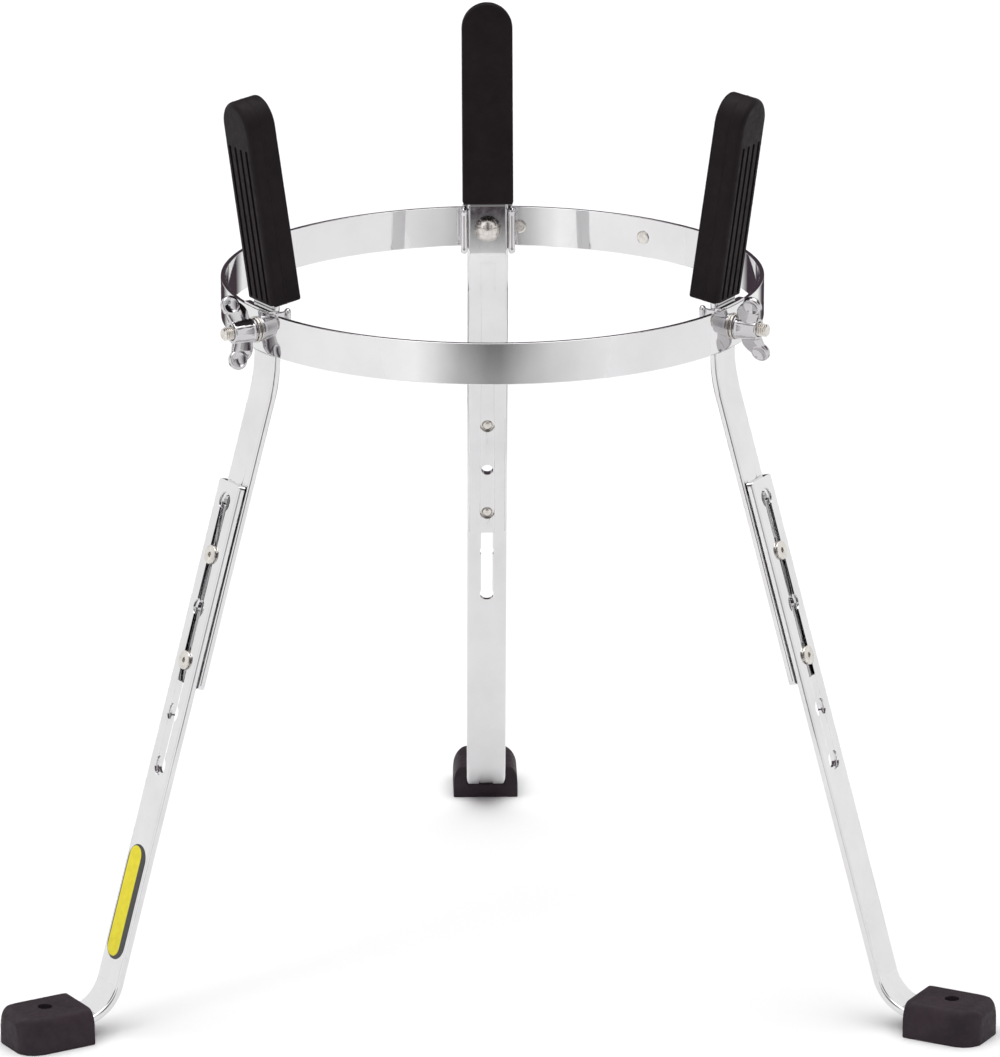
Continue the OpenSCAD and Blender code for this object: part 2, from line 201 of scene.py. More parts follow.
def lathe(name, profile, steps=64, m=None, closed=True):
    """Turns (along, radius) points about the X axis."""
    n = len(profile)
    verts, faces = [], []
    for k in range(steps):
        a = 2 * math.pi * k / steps
        for x, r in profile:
            verts.append((x, r * math.cos(a), r * math.sin(a)))
    for k in range(steps):
        k2 = (k + 1) % steps
        for i in range(n if closed else n - 1):
            j = (i + 1) % n
            faces.append([k * n + i, k * n + j, k2 * n + j, k2 * n + i])
    return make(name, verts, faces, m)


def round_profile(pts, r, n=4):
    """Rounds the corners of a closed polygon by radius r, or by each point's own third value."""
    out = []
    for i, p in enumerate(pts):
        rad = p[2] if len(p) > 2 else r
        a, b = Vector(pts[i - 1][:2]), Vector(pts[(i + 1) % len(pts)][:2])
        c = Vector(p[:2])
        if rad <= 0:
            out.append(tuple(c))
            continue
        u, v = (a - c).normalized(), (b - c).normalized()
        ang = u.angle(v)
        d = min(rad / math.tan(ang / 2), (a - c).length * 0.49, (b - c).length * 0.49)
        rr = d * math.tan(ang / 2)
        mid = c + (u + v).normalized() * (rr / math.sin(ang / 2))
        s, e = c + u * d - mid, c + v * d - mid
        turn = math.atan2(s.x * e.y - s.y * e.x, s.dot(e))
        for k in range(n + 1):
            t = turn * k / n
            out.append((mid.x + s.x * math.cos(t) - s.y * math.sin(t),
                        mid.y + s.x * math.sin(t) + s.y * math.cos(t)))
    return out


def prism(name, outline, h0, h1, m=None):
    """Extrudes a closed XY outline from z = h0 to h1."""
    n = len(outline)
    verts = [(x, y, h0) for x, y in outline] + [(x, y, h1) for x, y in outline]
    faces = [list(range(n))[::-1], list(range(n, 2 * n))]
    faces += [[i, (i + 1) % n, n + (i + 1) % n, n + i] for i in range(n)]
    return make(name, verts, faces, m)


def block(name, a, b, m=None):
    """A box between two corners."""
    return prism(name, [(a[0], a[1]), (b[0], a[1]), (b[0], b[1]), (a[0], b[1])], a[2], b[2], m)


def loft(name, rings, m=None, cap=True):
    """Skins a list of equally long point rings."""
    n = len(rings[0])
    verts = [p for ring in rings for p in ring]
    faces = []
    for j in range(len(rings) - 1):
        faces += [[j * n + i, j * n + (i + 1) % n, (j + 1) * n + (i + 1) % n, (j + 1) * n + i]
                  for i in range(n)]
    if cap:
        faces += [list(range(n))[::-1], [(len(rings) - 1) * n + i for i in range(n)]]
    return make(name, verts, faces, m)


def cast(name, parts, voxel, rounds, m=None):
    """Melts overlapping solids into one casting with soft fillets."""
    ob = join(name, *parts)
    mod = ob.modifiers.new("remesh", "REMESH")
    mod.mode, mod.voxel_size, mod.adaptivity = "VOXEL", voxel, 0
    mod = ob.modifiers.new("smooth", "SMOOTH")
    mod.factor, mod.iterations = 0.5, rounds
    applied(ob)
    if m is not None:
        ob.data.transform(m)
    ob.data.shade_smooth()
    return ob


def place(src, name, node, m, mat, body, extra=()):
    """A copy of a millimetre mesh in its place on the stand, standing for a CAD node."""
    mesh = src.data.copy()
    mesh.transform(m)
    ob = new_object(name, mesh)
    mesh.materials.clear()
    mesh.materials.append(mat)
    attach(ob, body)
    if node:
        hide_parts(node, *extra)
    return ob


# ---------------------------------------------------------------- materials
def shader(name, color, metallic, rough, build=None, **sockets):
    """A Principled material; build adds its textures."""
    mat = bpy.data.materials.new(name)
    mat.use_nodes = True
    nt = mat.node_tree
    bsdf = nt.nodes["Principled BSDF"]
    bsdf.inputs["Base Color"].default_value = (*color, 1)
    bsdf.inputs["Metallic"].default_value = metallic
    bsdf.inputs["Roughness"].default_value = rough
    for k, v in sockets.items():
        bsdf.inputs[k.replace("_", " ")].default_value = v
    if build:
        build(nt, bsdf)
    return mat


def node(nt, kind, **values):
    """A new node with its inputs or settings given by name."""
    n = nt.nodes.new(kind)
    for k, v in values.items():
        if k in n.inputs:
            n.inputs[k].default_value = v
        else:
            setattr(n, k, v)
    return n


def coords(nt, scale=(1, 1, 1)):
    """Object coordinates, scaled."""
    tc = nt.nodes.new("ShaderNodeTexCoord")
    mp = node(nt, "ShaderNodeMapping")
    mp.inputs["Scale"].default_value = scale
    nt.links.new(tc.outputs["Object"], mp.inputs["Vector"])
    return mp.outputs["Vector"]


def noise(nt, vec, scale, detail=3.0, rough=0.5):
    n = node(nt, "ShaderNodeTexNoise", Scale=scale, Detail=detail, Roughness=rough)
    nt.links.new(vec, n.inputs["Vector"])
    return n.outputs["Fac"]


def ramp(nt, fac, stops):
    """A colour ramp; a stop is (position, grey or colour)."""
    r = nt.nodes.new("ShaderNodeValToRGB")
    els = r.color_ramp.elements
    while len(els) < len(stops):
        els.new(0.5)
    for e, (pos, col) in zip(els, stops):
        e.position = pos
        e.color = (*col, 1) if isinstance(col, tuple) else (col, col, col, 1)
    nt.links.new(fac, r.inputs["Fac"])
    return r.outputs["Color"]


def bump(nt, bsdf, height, strength, distance, prev=None):
    b = node(nt, "ShaderNodeBump", Strength=strength, Distance=distance)
    nt.links.new(height, b.inputs["Height"])
    if prev is not None:
        nt.links.new(prev, b.inputs["Normal"])
    nt.links.new(b.outputs["Normal"], bsdf.inputs["Normal"])
    return b.outputs["Normal"]


def chrome(light, dark, r0, r1, wave, fine):
    """Plated steel: slight haze in patches, polishing ripple and hairline marks."""
    def build(nt, bsdf):
        vec = coords(nt)
        patch = noise(nt, vec, 28.0, 5.0, 0.6)
        nt.links.new(ramp(nt, patch, [(0.30, dark), (0.62, light)]), bsdf.inputs["Base Color"])
        haze = noise(nt, vec, 160.0, 6.0, 0.65)
        nt.links.new(ramp(nt, haze, [(0.35, r0), (0.75, r1)]), bsdf.inputs["Roughness"])
        n1 = bump(nt, bsdf, noise(nt, vec, 22.0, 1.0, 0.4), wave, 0.0015)
        bump(nt, bsdf, noise(nt, coords(nt, (1, 1, 0.12)), 900.0, 2.0, 0.5), fine, 0.0002, n1)
    return build


def plated(light, dark, r0, r1, grain):
    """Dull plate or printed film: fine grain in colour and gloss."""
    def build(nt, bsdf):
        vec = coords(nt)
        patch = noise(nt, vec, 240.0, 5.0, 0.65)
        nt.links.new(ramp(nt, patch, [(0.30, dark), (0.68, light)]), bsdf.inputs["Base Color"])
        nt.links.new(ramp(nt, noise(nt, vec, 700.0, 4.0), [(0.3, r0), (0.7, r1)]),
                     bsdf.inputs["Roughness"])
        bump(nt, bsdf, noise(nt, vec, 1500.0, 3.0), grain, 0.0003)
    return build


def moulded(light, dark, r0, r1, grain):
    """Moulded rubber: fine eroded grain, faint bloom and scuffs in the colour."""
    def build(nt, bsdf):
        vec = coords(nt)
        bloom = noise(nt, vec, 55.0, 6.0, 0.7)
        nt.links.new(ramp(nt, bloom, [(0.32, dark), (0.72, light)]), bsdf.inputs["Base Color"])
        nt.links.new(ramp(nt, noise(nt, vec, 260.0, 5.0, 0.6), [(0.3, r0), (0.7, r1)]),
                     bsdf.inputs["Roughness"])
        n1 = bump(nt, bsdf, noise(nt, vec, 120.0, 3.0, 0.55), 0.12, 0.0006)
        bump(nt, bsdf, noise(nt, vec, 2200.0, 3.0, 0.6), grain, 0.00035, n1)
    return build


M_RING = shader("ring_chrome", (0.70, 0.697, 0.702), 1.0, 0.04,
                chrome((0.72, 0.717, 0.722), (0.68, 0.677, 0.682), 0.02, 0.07, 0.03, 0.02))
M_BAR = shader("bar_chrome", (0.70, 0.697, 0.702), 1.0, 0.05,
               chrome((0.72, 0.717, 0.722), (0.67, 0.667, 0.672), 0.03, 0.09, 0.04, 0.03))
M_BRACKET = shader("bracket_chrome", (0.62, 0.61, 0.62), 1.0, 0.06,
                   chrome((0.66, 0.65, 0.66), (0.56, 0.55, 0.56), 0.02, 0.08, 0.12, 0.02))
M_CAST = shader("cast_chrome", (0.54, 0.532, 0.54), 1.0, 0.06,
                chrome((0.58, 0.572, 0.58), (0.49, 0.48, 0.49), 0.02, 0.06, 0.16, 0.02))
M_NICKEL = shader("nickel", (0.66, 0.635, 0.60), 1.0, 0.2,
                  plated((0.72, 0.695, 0.66), (0.56, 0.53, 0.49), 0.14, 0.30, 0.08))
M_PAD = shader("pad_rubber", (0.010, 0.0065, 0.0082), 0.0, 0.6,
               moulded((0.0125, 0.0080, 0.0102), (0.0070, 0.0045, 0.0058), 0.50, 0.66, 0.35),
               Specular_IOR_Level=0.13)
M_SHOE = shader("shoe_rubber", (0.024, 0.0155, 0.0205), 0.0, 0.62,
                moulded((0.032, 0.0205, 0.0275), (0.017, 0.0110, 0.0146), 0.52, 0.70, 0.35),
                Specular_IOR_Level=0.2)
M_DARK = shader("label_border", (0.02, 0.02, 0.022), 0.0, 0.4,
                plated((0.026, 0.026, 0.028), (0.014, 0.014, 0.016), 0.34, 0.46, 0.02))
M_LABEL = shader("label_yellow", (0.80, 0.70, 0.02), 0.0, 0.38,
                 plated((0.84, 0.74, 0.022), (0.74, 0.64, 0.016), 0.34, 0.46, 0.02),
                 Specular_IOR_Level=0.2)

# ---------------------------------------------------------------- bars
def bar_section(deep):
    """(depth below the outer face, Y) with rolled edges and the inner groove."""
    h, r = BAR_W / 2, BAR_EDGE
    pts = []
    for cu, cy, a0 in ((r, -h + r, 180), (BAR_T - r, -h + r, 270)):
        pts += [(cu + r * math.cos(math.radians(a0 + k * 11.25)),
                 cy + r * math.sin(math.radians(a0 + k * 11.25))) for k in range(9)]
    groove = [(BAR_T - deep * d, y) for d, y in ((0, -4.9), (0.06, -4.6), (0.22, -4.35),
                                                 (0.42, -4.1), (0.56, -3.8), (0.6, -3.4))]
    pts += groove + [(u, -y) for u, y in reversed(groove)]
    for cu, cy, a0 in ((BAR_T - r, h - r, 0), (r, h - r, 90)):
        pts += [(cu + r * math.cos(math.radians(a0 + k * 11.25)),
                 cy + r * math.sin(math.radians(a0 + k * 11.25))) for k in range(9)]
    return pts


def arc(cx, cz, r, a0, a1, n):
    """Points of an arc in the XZ plane, each with its direction."""
    out = []
    for k in range(n + 1):
        a = math.radians(a0 + (a1 - a0) * k / n)
        out.append((cx + r * math.cos(a), cz + r * math.sin(a), a - math.pi))
    return out


def sweep(name, path, groove_top=math.inf):
    """A bar along (x, z, direction) points; above groove_top the groove all but vanishes."""
    return loft(name, [[(x - u * math.cos(t), y, z - u * math.sin(t))
                        for u, y in bar_section(1 if z < groove_top else 0.02)] for x, z, t in path])


def corner_waste(name, w, r, m):
    """What is cut away to round both corners of a bar's end."""
    parts = []
    for s in (-1, 1):
        pts = [(-r + r * math.sin(math.radians(a)), s * (w / 2 - r + r * math.cos(math.radians(a))))
               for a in range(0, 91, 10)]
        pts += [(1.0, s * (w / 2 - r)), (1.0, s * (w / 2 + 1)), (-r, s * (w / 2 + 1))]
        parts.append(prism(name, pts, -12, 12, m))
    return join(name, *parts)


def keyway(name, holes, m):
    """Stepped round cutters along the slope; holes is [(s, [(depth, radius), ...])]."""
    parts = []
    for s, prof in holes:
        p = [(prof[0][0], 0)] + prof + [(prof[-1][0], 0)]
        parts.append(lathe(name, p, 56, m @ Matrix.Translation((0, 0, -s))))
    return join(name, *parts)


def turn_y(a):
    return Matrix.Rotation(math.radians(a), 4, "Y")


tilt_deg, lean_deg = math.degrees(TILT), math.degrees(LEAN)
path = [(KX + UP_END * math.sin(TILT), KZ - UP_END * math.cos(TILT), TILT)]
path += arc(FACE_R + KNEE_R, KNEE_Z, KNEE_R, 180 + tilt_deg, 180, 28)
path += arc(FACE_R + NECK_R, NECK_Z, NECK_R, 180, 180 - lean_deg, 12)
path += [(NX + CORE * math.sin(LEAN), NZ + CORE * math.cos(LEAN), -LEAN)]
upper = sweep("upper_bar_src", path, GROOVE_TOP)
cut(upper,
    corner_waste("w", BAR_W, 4, SLOPE @ Matrix.Translation((0, 0, -UP_END)) @ turn_y(90)),
    corner_waste("w", BAR_W, 10, Matrix.Translation((NX, 0, NZ)) @ turn_y(lean_deg)
                 @ Matrix.Translation((0, 0, CORE)) @ turn_y(-90)),
    keyway("w", [(FIRST + k * PITCH, [(-9, r), (3, r)])
                 for k, r in ((1, STUD_R), (3, STUD_R), (2, SPARE_R))], SLOPE),
    block("w", (FACE_R - BAR_T - 2, -NECK_HALF, BOLT_Z - NECK_HALF),
          (FACE_R + 2, NECK_HALF, BOLT_Z + NECK_HALF)))
smooth(upper, bevel=0.28)

path = [(TAIL_END, TAIL_Z + BAR_T, math.pi / 2)]
path += arc(HEEL_CX, HEEL_CZ, HEEL_R - BAR_T, 270, 180 + tilt_deg, 48)
path += [(KX + LOWER_FACE * math.cos(TILT) + LOW_TOP * math.sin(TILT),
          KZ + LOWER_FACE * math.sin(TILT) - LOW_TOP * math.cos(TILT), TILT)]
lower = sweep("lower_bar_src", path)
opening = [(-2, STUD_R), (LOWER_FACE - 2.1, STUD_R), (LOWER_FACE - 1.5, OPEN_R), (LOWER_FACE + 4, OPEN_R)]
cut(lower,
    corner_waste("w", BAR_W, 3, SLOPE @ Matrix.Translation((0, 0, -LOW_TOP)) @ turn_y(-90)),
    block("w", (-3, -SLOT_HALF, -FIRST - (OPENINGS - 1) * PITCH), (14, SLOT_HALF, -FIRST), SLOPE),
    keyway("w", [(FIRST + k * PITCH, opening) for k in range(OPENINGS)], SLOPE),
    lathe("w", [(-9, 0), (-9, 2.6), (20, 2.6), (20, 0)], 32,
          Matrix.Translation((SCREW_R, 0, 0)) @ turn_y(-90)))
smooth(lower, bevel=0.25)

# ---------------------------------------------------------------- ring
def turned(name, profile, a0, a1, steps):
    """Turns an (r, z) outline about Z, as a full band or a sector."""
    full = abs(a1 - a0) >= 360
    rings = []
    for k in range(steps if full else steps + 1):
        a = math.radians(a0 + (a1 - a0) * k / steps)
        rings.append([(r * math.cos(a), r * math.sin(a), z) for r, z in profile])
    if full:
        rings.append(rings[0])
    return loft(name, rings, cap=not full)


def radial_cutters(spots, r):
    """Round cutters through the band in the given directions."""
    return join("w", *[lathe("w", [(150, 0), (150, r), (180, r), (180, 0)], 48,
                             Matrix.Rotation(math.radians(a), 4, "Z") @ BOLT) for a in spots])


edge = round_profile([(RING_R - WALL, RING_TOP - BAND_H), (RING_R, RING_TOP - BAND_H),
                      (RING_R, RING_TOP), (RING_R - WALL, RING_TOP)], 0.4, 5)
band = turned("band_src", edge, 0, 360, 360)
cut(band, radial_cutters(LEGS.values(), 4.3), radial_cutters(RIVETS, RIVET_SHANK_R))
smooth(band)
place(band, "band", "ring_band", RING, M_RING, "ring")

edge = round_profile([(RING_R - 0.02, BOLT_Z - 10), (RING_R + 2, BOLT_Z - 10),
                      (RING_R + 2, BOLT_Z + 10), (RING_R - 0.02, BOLT_Z + 10)], 0.55, 4)
strap = turned("strap_src", edge, 49.3, 86.5, 60)
cut(strap, radial_cutters(RIVETS, RIVET_SHANK_R))
smooth(strap, bevel=0.4)
place(strap, "splice_strap", "ring_splice", RING, M_RING, "ring")

x0, x1 = RING_R - WALL, RING_R + 2
rivet = lathe("rivet_src", round_profile(
    [(x0 - 0.9, 0, 0), (x0 - 0.88, 3.3, 0.6), (x0 - 0.66, 4.2, 0.15), (x0, 4.2, 0), (x0, 2.45, 0),
     (x1, 2.45, 0), (x1, 3.9, 0.2), (x1 + 0.7, 3.4, 1.0), (x1 + 1.3, 1.6, 1.0), (x1 + 1.45, 0, 0)],
    0.2, 4), 56)
smooth(rivet)
rivets = join("rivets_src", *[place(rivet, "r", None, Matrix.Rotation(math.radians(a), 4, "Z") @ BOLT,
                                    M_NICKEL, "ring") for a in RIVETS])
place(rivets, "splice_rivets", "ring_rivets", RING, M_NICKEL, "ring")

# ---------------------------------------------------------------- saddle
def saddle_plan(r):
    """Plan of the saddle from the bar's face out to radius r."""
    side = [-SADDLE_HALF + 2 * SADDLE_HALF * k / 12 for k in range(13)]
    front = [(math.sqrt(r ** 2 - y * y), y) for y in side]
    return [(FACE_R + 0.3, -SADDLE_HALF)] + front + [(FACE_R + 0.3, SADDLE_HALF)]


web = prism("web", saddle_plan(RING_R - WALL), KNEE_Z, RING_TOP + 1.5)
cut(web, lathe("w", [(150, 0), (150, 4.5), (180, 4.5), (180, 0)], 40, BOLT))
parts = [web, prism("lip", saddle_plan(RING_R - 0.2), RING_TOP + 0.05, RING_TOP + 1.6)]
for s in (-1, 1):
    y0, y1 = sorted((s * 12.9, s * 15.2))
    parts.append(block("flange", (151.4, y0, FLANGE_Z), (FACE_R + 0.9, y1, RING_TOP)))
    tall = RING_TOP - FLANGE_Z
    bead = [(-2.1, 0), (-1.8, 1.1), (-0.9, 1.9), (0.5, 2.15), (2.2, 1.9), (tall - 2.4, 1.9),
            (tall - 0.5, 2.15), (tall + 0.9, 1.9), (tall + 1.8, 1.1), (tall + 2.1, 0)]
    parts.append(lathe("bead", bead, 32, Matrix.Translation((151.5, s * 15.0, FLANGE_Z)) @ turn_y(-90),
                       closed=False))
saddle = cast("saddle_src", parts, 0.38, 4)

# ---------------------------------------------------------------- clamp hardware
washer = lathe("washer_src", round_profile(
    [(RING_R, 4.25), (RING_R, 8), (RING_R + 1.6, 8), (RING_R + 1.6, 4.25)], 0.35, 4), 72, BOLT)
smooth(washer)


def power(v, p):
    """|v| to the power p with v's sign, for squarish ovals."""
    return math.copysign(abs(v) ** p, v)


def nut_web(side):
    """The broad web from the barrel to a thumb piece: ovals that widen and thin out."""
    base, rings = 4.6, []
    for k in range(15):
        t = k / 14
        z = base + (LOBE_Z + 1.6 - base) * t
        xa = 1.6 + 0.9 * t + 5.0 * max(0, (t - 0.5) / 0.5) ** 1.8
        xb = 14.5 + 3.9 * t ** 0.8
        half = 3.1 - 1.5 * min(1, t * 1.4) - 0.9 * max(0, (t - 0.9) / 0.1) ** 2
        rings.append([((xa + xb) / 2 + (xb - xa) / 2 * power(math.cos(a), 0.6),
                       half * power(math.sin(a), 0.8), side * z)
                      for a in [2 * math.pi * j / 28 for j in range(28)]])
    return loft("web", rings)


def nut_mesh():
    """Barrel, thumb pieces and webs melted together, then a shallow bowl in each thumb face."""
    parts = [lathe("hub", [(0, 4.4), (0, 7.25), (1.6, 7.3), (2.6, 7.1), (14.3, 6.5), (14.9, 6.2),
                           (NUT_LEN, 5.6), (NUT_LEN, 4.9), (14.7, 4.4)], 64)]
    thumb = [(-2.0, 0), (-2.0, 4.9), (-1.6, 5.6), (-0.8, 6.0), (0.8, 6.0), (1.6, 5.6), (2.0, 4.9), (2.0, 0)]
    bowl_r, bowl_x = 9.4, 10.3
    bowls = []
    for s in (-1, 1):
        lobe = Matrix.Translation((LOBE_X, 0, s * LOBE_Z)) @ Matrix.Rotation(math.pi / 2, 4, "Z")
        parts.append(lathe("thumb", thumb, 56, lobe, closed=False))
        parts.append(nut_web(s))
        for side in (-1, 1):
            bowl = [(side * (bowl_x - bowl_r * math.cos(math.radians(a))), bowl_r * math.sin(math.radians(a)))
                    for a in range(0, 46, 3)]
            bowls.append(lathe("w", bowl + [(bowl[-1][0], 0)], 56, lobe, closed=False))
    ob = cast("wing_nut_src", parts, 0.36, 3)
    cut(ob, *bowls)
    return smooth(ob, angle=60)


nut = nut_mesh()


def bolt_mesh():
    """Domed head inside the bar, square neck, and a shank with a real helix to its tip."""
    hx, head_r, head_h = FACE_R - BAR_T, 8.5, 4.6
    sr = (head_r ** 2 + head_h ** 2) / (2 * head_h)
    dome = [(hx - head_h + sr - sr * math.cos(a), sr * math.sin(a))
            for a in [math.asin(8.3 / sr) * k / 14 for k in range(15)]]
    head = lathe("head", dome + [(hx - 0.12, head_r), (hx, 8.35), (hx, 4.5), (hx, 0)], 72, BOLT)
    neck = prism("neck", round_profile([(-4, -4), (4, -4), (4, 4), (-4, 4)], 0.6, 3), 0, 4,
                 BOLT @ Matrix.Translation((hx, 0, 0)) @ turn_y(90))
    n, step = 48, THREAD_PITCH / 9
    rings, x = [], hx + 3.8
    while x < TIP_R:
        ring = []
        for k in range(n):
            a = 2 * math.pi * k / n
            f = ((x / THREAD_PITCH) - k / n) % 1.0
            depth = min(1.0, max(0.0, (abs(f - 0.5) * 2 - 0.12) / 0.76))
            r = min(3.98 - 0.66 * depth, 3.05 + (TIP_R - x) * 1.1)
            ring.append((x, r * math.cos(a), r * math.sin(a)))
        rings.append(ring)
        x += step
    rings.append([(TIP_R, 2.9 * math.cos(2 * math.pi * k / n), 2.9 * math.sin(2 * math.pi * k / n))
                  for k in range(n)])
    shank = loft("shank", rings, BOLT)
    return join("bolt_src", smooth(head), smooth(neck), smooth(shank, angle=60))


bolt = bolt_mesh()

head_x = LOWER_FACE + 0.3
stud = lathe("stud_src", round_profile(
    [(-4.6, 0, 0), (-4.45, 1.7, 1.2), (-3.5, 3.1, 1.2), (-2.4, 3.4, 0), (-2.4, 4.45, 0.2), (0, 4.45, 0.1),
     (0, 3.5, 0), (head_x, 3.5, 0), (head_x, 5.8, 0.2), (head_x + 1.3, 5.8, 0.45),
     (head_x + 1.3, 1.6, 0.2), (head_x - 0.9, 1.45, 0.2), (head_x - 1.0, 0, 0)], 0.2, 4), 56, SLOPE)
smooth(stud)

# ---------------------------------------------------------------- rubber pad
def pad_outline(d):
    """Front outline of the pad in (Y, Z), pulled in by d all round."""
    w, foot = PAD_W / 2 - d, min(d, 1.0)
    zc, r = PAD_LEN - PAD_W / 2, max(1.8 - d, 0.6)
    corner = [math.radians(270 + k * 15) for k in range(7)]
    half = [(w - r + r * math.cos(a), foot + r + r * math.sin(a)) for a in corner]
    half += [(w, foot + r + (zc - foot - r) * k / 6) for k in range(1, 6)]
    top = [(w * math.cos(math.radians(a)), zc + w * math.sin(math.radians(a))) for a in range(0, 181, 5)]
    return half + top + [(-y, z) for y, z in reversed(half)]


def pad_mesh():
    """Pad with rounded edges, a parting line round its middle and four grooves outside."""
    inner, outer, thick, groove_r = 1.3, 3.4, 19.5, 1.3
    turn = [math.radians(k * 15) for k in range(7)]
    stations = [(inner * (1 - math.cos(t)), inner * (1 - math.sin(t))) for t in turn]
    stations += [(5, 0), (9.6, 0), (9.75, -0.16), (10.1, -0.16), (10.25, 0), (14, 0)]
    stations += [(thick - outer * (1 - math.cos(t)), outer * (1 - math.sin(t))) for t in reversed(turn)]
    rings = []
    for u, d in stations:
        ring = []
        for y, z in pad_outline(d):
            a, b = -14.6 - z / PAD_LEN, PAD_FACE - 1.7 * z / PAD_LEN
            ring.append((a + (b - a) * u / thick, y, z))
        rings.append(ring)
    ob = loft("pad_src", rings, ARM)
    # grooves: a round-bottomed channel drawn in (Y, Z) and pushed in from the outer face
    face = ARM @ Matrix.Translation((PAD_FACE, 0, 0)) @ turn_y(-PAD_DRAFT) @ Matrix(
        ((0, 0, 1, 0), (1, 0, 0, 0), (0, 1, 0, 0), (0, 0, 0, 1)))
    grooves = []
    for y in (-9.75, -3.25, 3.25, 9.75):
        o = [(y + groove_r * math.cos(math.radians(a)), end + groove_r * math.sin(math.radians(a)))
             for end, a0 in ((96.5, 0), (3.4, 180)) for a in range(a0, a0 + 181, 20)]
        grooves.append(prism("w", o, -1.1, 4, face))
    cut(ob, join("w", *grooves))
    return smooth(ob, angle=45, bevel=0.45, segments=3, bevel_angle=40)


pad = pad_mesh()

# ---------------------------------------------------------------- shoe
def shoe_mesh():
    """Cross-sections along the shoe, rounded in plan at the outer end, less tail and screw."""
    side = [(0, 0.35), (0.6, 0.0), (7, 0.0), (10, 0.05), (12.5, 0.2), (14.5, 0.5), (16.2, 0.95),
            (17.6, 1.5), (18.9, 2.2), (20, 3.0), (20.9, 3.95), (21.6, 5.0), (22.05, 6.2), (SHOE_H, 7.6)]

    def section(x, hw, top, inset):
        right = []
        for z, dy in side:
            zz = z * top / SHOE_H
            right.append((x, max(hw - dy * hw / (SHOE_W / 2) - inset, 0.5),
                          min(max(zz, inset * 0.6), top - inset * 0.4)))
        return right + [(x, -y, z) for _, y, z in reversed(right)]

    hw = SHOE_W / 2
    rings = [section(SHOE_IN, hw, 21.0, 0.9), section(SHOE_IN + 0.25, hw, 21.6, 0.35),
             section(SHOE_IN + 0.9, hw, 22.1, 0.0)]
    rings += [section(x, hw, SHOE_H, 0) for x in (SHOE_IN + 3, 300, 308, 316, 322, SHOE_OUT - SHOE_CORNER)]
    for k in range(1, 18):
        a = math.radians(90 * k / 18)
        x = SHOE_OUT - SHOE_CORNER + SHOE_CORNER * math.sin(a)
        top = SHOE_H - 4.6 * max(0, (x - (SHOE_OUT - 7)) / 7) ** 2
        rings.append(section(x, hw - 12.5 * (1 - math.cos(a)), top, 0))
    rings.append(section(SHOE_OUT, hw - 12.8, 17.2, 0.5))
    ob = loft("shoe_src", rings)
    half = BAR_W / 2 + 0.1
    cut(ob, block("w", (SHOE_IN - 5, -half, TAIL_Z - 0.15), (TAIL_END + 0.5, half, TAIL_Z + BAR_T + 0.35)),
        lathe("w", [(15.8, 0), (15.8, 4.2), (19.6, 4.35), (25, 4.6), (25, 0)], 48,
              Matrix.Translation((SCREW_R, 0, 0)) @ turn_y(-90)))
    return smooth(ob, angle=50, bevel=0.45, segments=3, bevel_angle=42)


shoe = shoe_mesh()

screw = lathe("screw_src", round_profile(
    [(3.4, 0, 0), (3.4, 2.2, 0.4), (15.8, 2.4, 0), (15.8, 3.8, 0.2), (17.0, 3.8, 0.6), (18.0, 2.8, 0.9),
     (18.2, 0, 0)], 0.3, 4), 48, Matrix.Translation((SCREW_R, 0, 0)) @ turn_y(-90))
# turn_y(-90) turns X into Z, so the first number of the screw's profile is height
cut(screw, block("w", (SCREW_R - 2.4, -0.5, 16.8), (SCREW_R + 2.4, 0.5, 20)),
    block("w", (SCREW_R - 0.5, -2.4, 16.8), (SCREW_R + 0.5, 2.4, 20)))
smooth(screw, bevel=0.1)

# ---------------------------------------------------------------- assembly
for name, az in LEGS.items():
    m = leg_matrix(az)
    place(saddle, f"{name}_bracket", f"{name}_saddle", m, M_BRACKET, "ring")
    place(washer, f"{name}_flat_washer", f"{name}_washer", m, M_NICKEL, "ring")
    turn = Matrix.Rotation(math.radians(WING_TURN[name]), 4, "X")
    place(nut, f"{name}_thumb_nut", f"{name}_wing_nut", m @ BOLT @ Matrix.Translation((NUT_X, 0, 0)) @ turn,
          M_CAST, f"{name}_nut")
    place(upper, f"{name}_upper_leg", f"{name}_upper_bar", m, M_BAR, f"{name}_arm")
    place(bolt, f"{name}_coach_bolt", f"{name}_carriage_bolt", m, M_NICKEL, f"{name}_arm")
    place(pad, f"{name}_rubber_pad", f"{name}_arm_pad", m, M_PAD, f"{name}_arm")
    for word, k in STUDS.items():
        place(stud, f"{name}_{word}_rivet", f"{name}_{word}_stud",
              m @ SLOPE @ Matrix.Translation((0, 0, -FIRST - k * PITCH)) @ SLOPE.inverted(),
              M_NICKEL, f"{name}_arm")
    place(lower, f"{name}_lower_leg", f"{name}_lower_bar", m, M_BAR, f"{name}_shin")
    place(shoe, f"{name}_rubber_shoe", f"{name}_foot_shoe", m, M_SHOE, f"{name}_shin")
    place(screw, f"{name}_shoe_screw", f"{name}_foot_screw", m, M_NICKEL, f"{name}_shin")


def label(y0, y1, z0, z1, h0, h1):
    """A strip with round ends on the slope, from height h0 to h1."""
    face = Matrix(((0, 0, 1, 0), (1, 0, 0, 0), (0, 1, 0, 0), (0, 0, 0, 1)))
    o = round_profile([(y0, z0), (y1, z0), (y1, z1), (y0, z1)], (y1 - y0) / 2 - 0.3, 10)
    return smooth(prism("label_src", o, h0, h1, SLOPE @ face), bevel=0.06)


